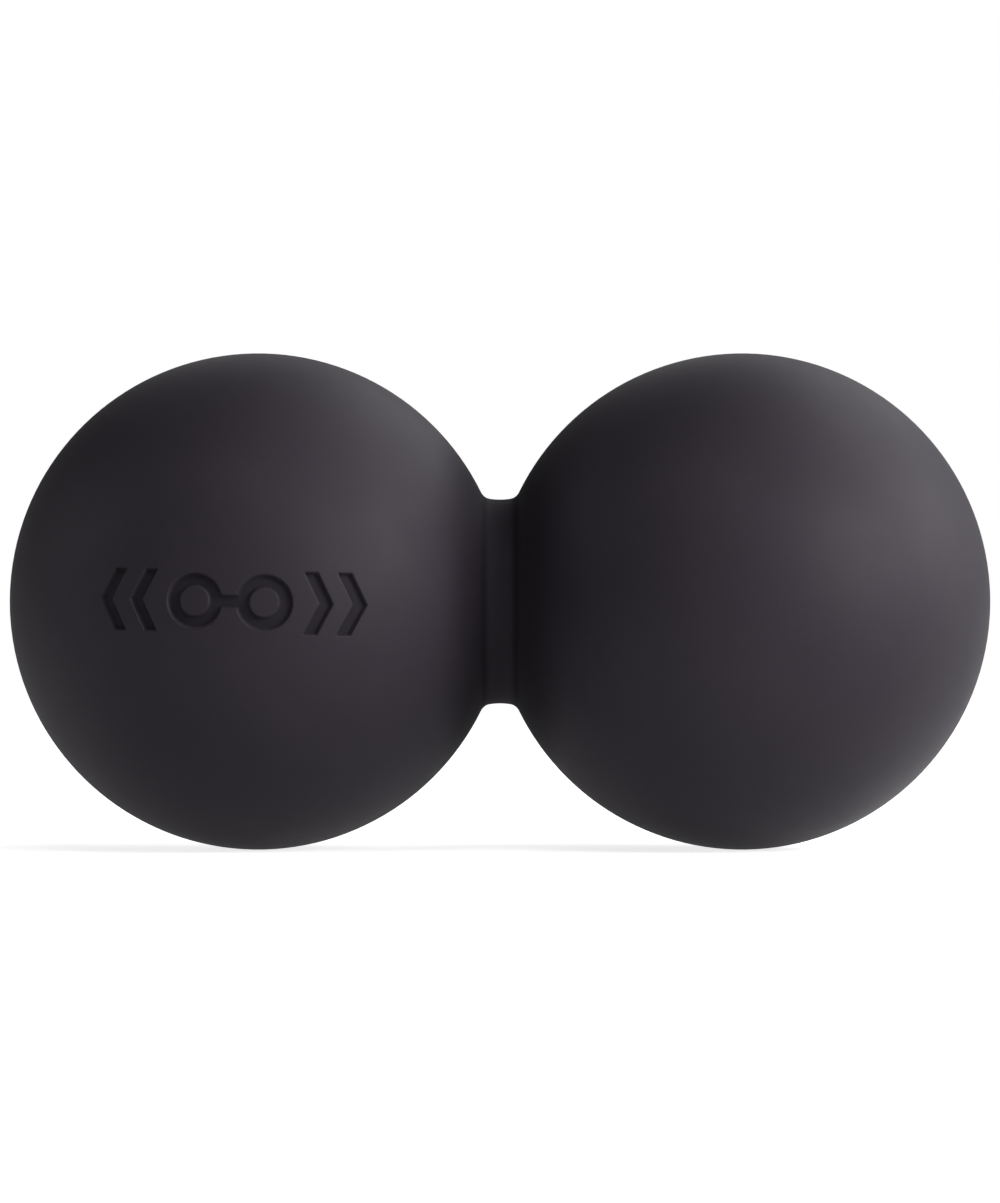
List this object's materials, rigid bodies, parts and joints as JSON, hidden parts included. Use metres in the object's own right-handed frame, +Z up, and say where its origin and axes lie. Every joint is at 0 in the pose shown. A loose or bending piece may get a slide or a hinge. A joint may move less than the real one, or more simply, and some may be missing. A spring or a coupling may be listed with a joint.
{
  "type": "massage ball",
  "caption": "Twin massage ball of dark matte silicone: two balls joined by a short narrow neck, for rolling on either side of the spine.",
  "frame": {"origin": "on the resting surface, under the middle of the neck", "axes": "+X along the line of the balls, from the ball with the mark to the plain ball; -Y is the side that shows the mark; +Z up"},
  "size_m": [0.1184, 0.06, 0.06],
  "materials": {
    "skin_silicone": "matte",
    "core_rubber": "matte",
    "rod_nylon": "satin",
    "spacer_plastic": "satin"
  },
  "bodies": {
    "root": {"front_skin": "skin_silicone", "rear_skin": "skin_silicone", "left_core": "core_rubber", "right_core": "core_rubber", "tie_rod": "rod_nylon", "neck_spacer": "spacer_plastic"}
  },
  "joints": []
}
